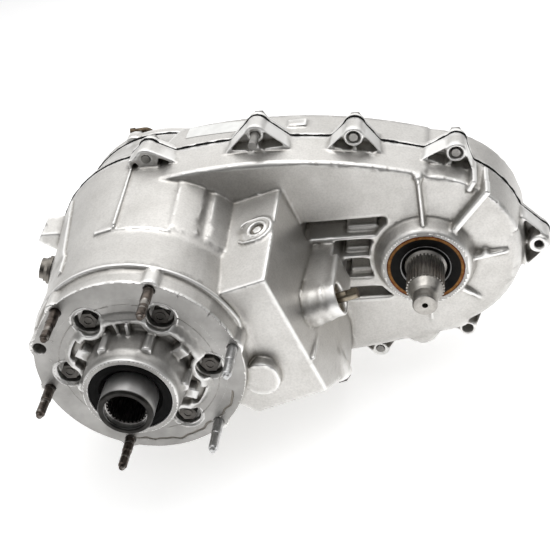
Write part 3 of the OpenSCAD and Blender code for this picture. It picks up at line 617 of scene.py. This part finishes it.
# soft front edge of the chain case and soft block
w = ramp01(c.Y, 126, 134) * ramp01(-c.Y, -158, -150) * ramp01(np.hypot(c.X, c.Z), 112, 118) * np.where(inside, 0, 1)
w = w * ramp01(np.hypot(c.X - 257, c.Z), 56, 62)
ang = np.degrees(np.arctan2(c.Z, c.X - 257))
w = w * np.where((ang > 38) & (ang < 68) | (np.abs(c.Z - 3) < 14) & (c.X > 257), 0, 1)
c.soften(w.astype(np.float32))
# ribs and ledges of the bell
c.emboss(lambda x, y, z: np.maximum(np.abs(np.degrees(np.arctan2(z, x)) - 127.6 - (y - 36) * 0.0737) * 1.95 - 1.7, np.maximum(44 - y, y - 168)),
         2.2, (-100, 42, 50), (-50, 170, 110))
c.emboss(lambda x, y, z: np.maximum(np.abs(x + 14.4) - 1.3, np.maximum(76 - y, y - 163)), 1.6, (-20, 70, 90), (-8, 168, 125))
c.add(torus(0, 0, 21.0, 100.8, 1.9), (-104, 17, 10), (96, 26, 106), 1.6)
c.add(torus(0, 0, 73.5, 104.3, 1.3), (-20, 70, 90), (36, 77, 108), 1.2)
# plug pad on top of the shift housing
box = ((95, 70, 50), (145, 118, 105))
def on_pad(fn):
    return lambda x, y, z: fn(*pad_ring(x, y, z))
c.add(on_pad(lambda u, y, z: np.hypot(np.hypot(np.maximum(np.abs(u + 3.5) - 3.5, 0), y) - 14.2, z - 9.9) - 1.2), *box, 0.8)
c.add(on_pad(lambda u, y, z: np.hypot(np.hypot(u, y) - 8.6, z - 10.2) - 1.2), *box, 0.8)
c.cut(on_pad(lambda u, y, z: np.maximum(np.hypot(u, y) - 6.6, 7.6 - z)), *box, 0.6)
c.add(on_pad(lambda u, y, z: np.maximum(np.hypot(u, y) - 4.2, np.abs(z - 8) - 1.4)), *box, 0.6)
# disc boss on the front of the shift housing
c.add(disc(107.5, -27.0, 15.2, 12.0, 40.0), (88, 9, -48), (126, 44, -8), 1.5)
# uneven step line of the machined flange
c.cut(wavy_ring(88.0, 0.5, 1.15, -106.0, -22.0), (-60, -2, -96), (96, 4, -20), 0.4)
# lens shaped rib and ejector mark right of the output
c.add(torus(313.5, 5.0, 117.8, 3.4, 0.8), (305, 114, -2), (322, 124, 12), 0.5)
front = put(c.mesh("front_case_cast", CASTM, [
    plane_y(0, 60, 98.4, tol=0.8, up=0.7), plane_y(0, 0, 8, *[float(x) for x in (-86.9, 29.8)]),
    plane_y(124.3, 30, 40.2, 257, 0, tol=0.8, up=0.7), plane_y(182.4, 80, 400, 0, 0, 1.0)]), "front_case")

# rear case
c = Cast("rear_case", 0.9 + FINE * 0.6, small=0.7, big=1.9)
c.keep(((c.Y > 182) & (c.Y < 224) & (np.hypot(c.X, c.Z) < 112)).astype(np.float32))
rear = put(c.mesh("rear_case_cast", CASTM, [plane_y(183.2, 80, 400), plane_y(241.4, 40, 107, ny=1.0)]), "rear_case")

# extension housing
c = Cast("extension_housing", 0.9 + FINE * 0.6, small=0.7, big=1.9)
ext = put(c.mesh("extension_housing_cast", CASTM, [plane_y(358, 20, 47, ny=1.0), plane_y(256, 0, 400, ny=1.0)]), "extension_housing")

# input bearing retainer
c = Cast("input_retainer", 0.6 + FINE * 0.4, small=0.45, big=1.15, band=12)
# no gap to the recess
c.add(lambda x, y, z: np.maximum(np.abs(np.hypot(x, z) - 79.2) - 1.8, np.abs(y - 1.3) - 1.35), (-82, -1, -82), (82, 4, 82), 0.3)
# rims of the bolt cups and turned steps of the plate
for i in range(6):
    a = math.radians(60 * i)
    px, pz = 66.3 * math.cos(a), 66.3 * math.sin(a)
    c.add(torus(px, pz, -0.1, 15.4, 0.75), (px - 18, -2, pz - 18), (px + 18, 3, pz + 18), 0.6)
    c.cut(torus(px, pz, -0.1, 12.6, 0.9), (px - 18, -2, pz - 18), (px + 18, 3, pz + 18), 0.6)
c.cut(torus(0, 0, 0.0, 73.6, 0.55), (-80, -1, -80), (80, 2, 80), 0.2)
ret = put(c.mesh("input_retainer_cast", RETM, [plane_y(0, 67, 81), plane_y(-38.2, 30, 43)]), "input_retainer")


# sealant, squeezed out unevenly: the thin CAD ring is stretched along Y for the
# level set and pressed together again afterwards
c = Cast("case_sealant", 0.9 + FINE * 0.4, small=0.7, big=0.7, ys=(182.8, 8.0))
c.a += 0.30 + 0.26 * waves(c.X, c.Z, 13.0, 5).clip(-1.1, 1.1) + 0.08 * waves(c.X, c.Z, 4.5, 8).clip(-1, 1)
bead = c.mesh("case_sealant_bead", [MATS["sealant"]], ys=(182.8, 2.3))
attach(bead, "case")
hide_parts("case_sealant")
c = Cast("extension_sealant", 0.9 + FINE * 0.4, small=0.7, big=0.7, ys=(242.0, 5.5))
c.a += 0.25 + 0.25 * waves(c.X, c.Z, 16.0, 11).clip(-1.1, 1.1)
bead2 = c.mesh("extension_sealant_bead", [MATS["sealant"]], ys=(242.0, 2.3))
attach(bead2, "case")
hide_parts("extension_sealant")

# ------------------------------------------------------------------ stage
def plane(name, size, z):
    me = bpy.data.meshes.new(name)
    s = size
    me.from_pydata([(-s, -s, z), (s, -s, z), (s, s, z), (-s, s, z)], [], [(0, 1, 2, 3)])
    o = bpy.data.objects.new(name, me)
    bpy.context.scene.collection.objects.link(o)
    return o


floor = plane("floor", 20.0, cad_lo.z - 0.0005)
fm = Mat("floor_paper", metallic=0.0, rough=0.9, spec=0.1)
fm.color(fm.ramp(fm.noise(2, 2, 0.5), (0.3, (0.92, 0.92, 0.92)), (0.7, (0.94, 0.94, 0.94))))
# painted light: the floor glows, fading with distance from the object, plus a glowing pool at the front right
far = fm.node("ShaderNodeVectorMath")
far.operation = "DISTANCE"
fm.t.links.new(fm.tc, far.inputs[0])
far.inputs[1].default_value = (0.12, 0.25, cad_lo.z)
fm.b.inputs["Emission Color"].default_value = (1, 1, 1, 1)
near = fm.node("ShaderNodeVectorMath")
near.operation = "DISTANCE"
fm.t.links.new(fm.tc, near.inputs[0])
near.inputs[1].default_value = (0.30, -0.12, cad_lo.z)
painted_floor_light = fm.math("MULTIPLY", fm.step(far.outputs["Value"], 1.4, 0.75), 0.34)
# painted pool of light at the front right, lightening the floor shadow there and the chain case wall that reflects
# it
painted_floor_light = fm.math("ADD", painted_floor_light, fm.math("MULTIPLY", fm.step(near.outputs["Value"], 0.42, 0.08), 0.45))
fm.t.links.new(painted_floor_light, fm.b.inputs["Emission Strength"])
floor.data.materials.append(fm.m)

# a white studio: bright above and behind, darker behind the camera
world = bpy.data.worlds.new("studio")
bpy.context.scene.world = world
world.use_nodes = True
wt = world.node_tree
bg = wt.nodes["Background"]
gen = wt.nodes.new("ShaderNodeTexCoord")
dot = wt.nodes.new("ShaderNodeVectorMath")
dot.operation = "DOT_PRODUCT"
wt.links.new(gen.outputs["Generated"], dot.inputs[0])
dot.inputs[1].default_value = Vector((-0.15, 0.45, 0.88)).normalized()
mr = wt.nodes.new("ShaderNodeMapRange")
mr.interpolation_type = "SMOOTHSTEP"
wt.links.new(dot.outputs["Value"], mr.inputs["Value"])
mr.inputs["From Min"].default_value = 0.05
mr.inputs["From Max"].default_value = 0.80
mr.inputs["To Min"].default_value = 0.07
mr.inputs["To Max"].default_value = 1.20
wt.links.new(mr.outputs[0], bg.inputs[1])
bg.inputs[0].default_value = (1, 1, 1, 1)


def area(name, loc, target, size, power, size_y=None, color=(1, 1, 1)):
    d = bpy.data.lights.new(name, "AREA")
    d.shape = "RECTANGLE"
    d.size = size
    d.size_y = size_y or size
    d.energy = power
    d.color = color
    o = bpy.data.objects.new(name, d)
    o.location = loc
    o.rotation_mode = "QUATERNION"
    o.rotation_quaternion = (Vector(target) - Vector(loc)).to_track_quat("-Z", "Y")
    bpy.context.scene.collection.objects.link(o)
    return o


mid = (0.12, 0.12, 0.0)
area("top_soft", (0.05, 0.35, 1.3), mid, 1.0, 5)

# ------------------------------------------------------------------ camera
cd = bpy.data.cameras.new("camera")
cd.sensor_width = 36.0
cd.lens = 75.02
cam = bpy.data.objects.new("camera", cd)
bpy.context.scene.collection.objects.link(cam)
right, up, back = (0.98023, 0.11120, -0.16364), (0.06548, 0.59814, 0.79871), (0.18670, -0.79364, 0.57904)
cam.matrix_world = Matrix((
    (right[0], up[0], back[0], 0.32738),
    (right[1], up[1], back[1], -0.77512),
    (right[2], up[2], back[2], 0.65470),
    (0, 0, 0, 1)))
bpy.context.scene.camera = cam
vs = bpy.context.scene.view_settings
vs.view_transform = "Standard"
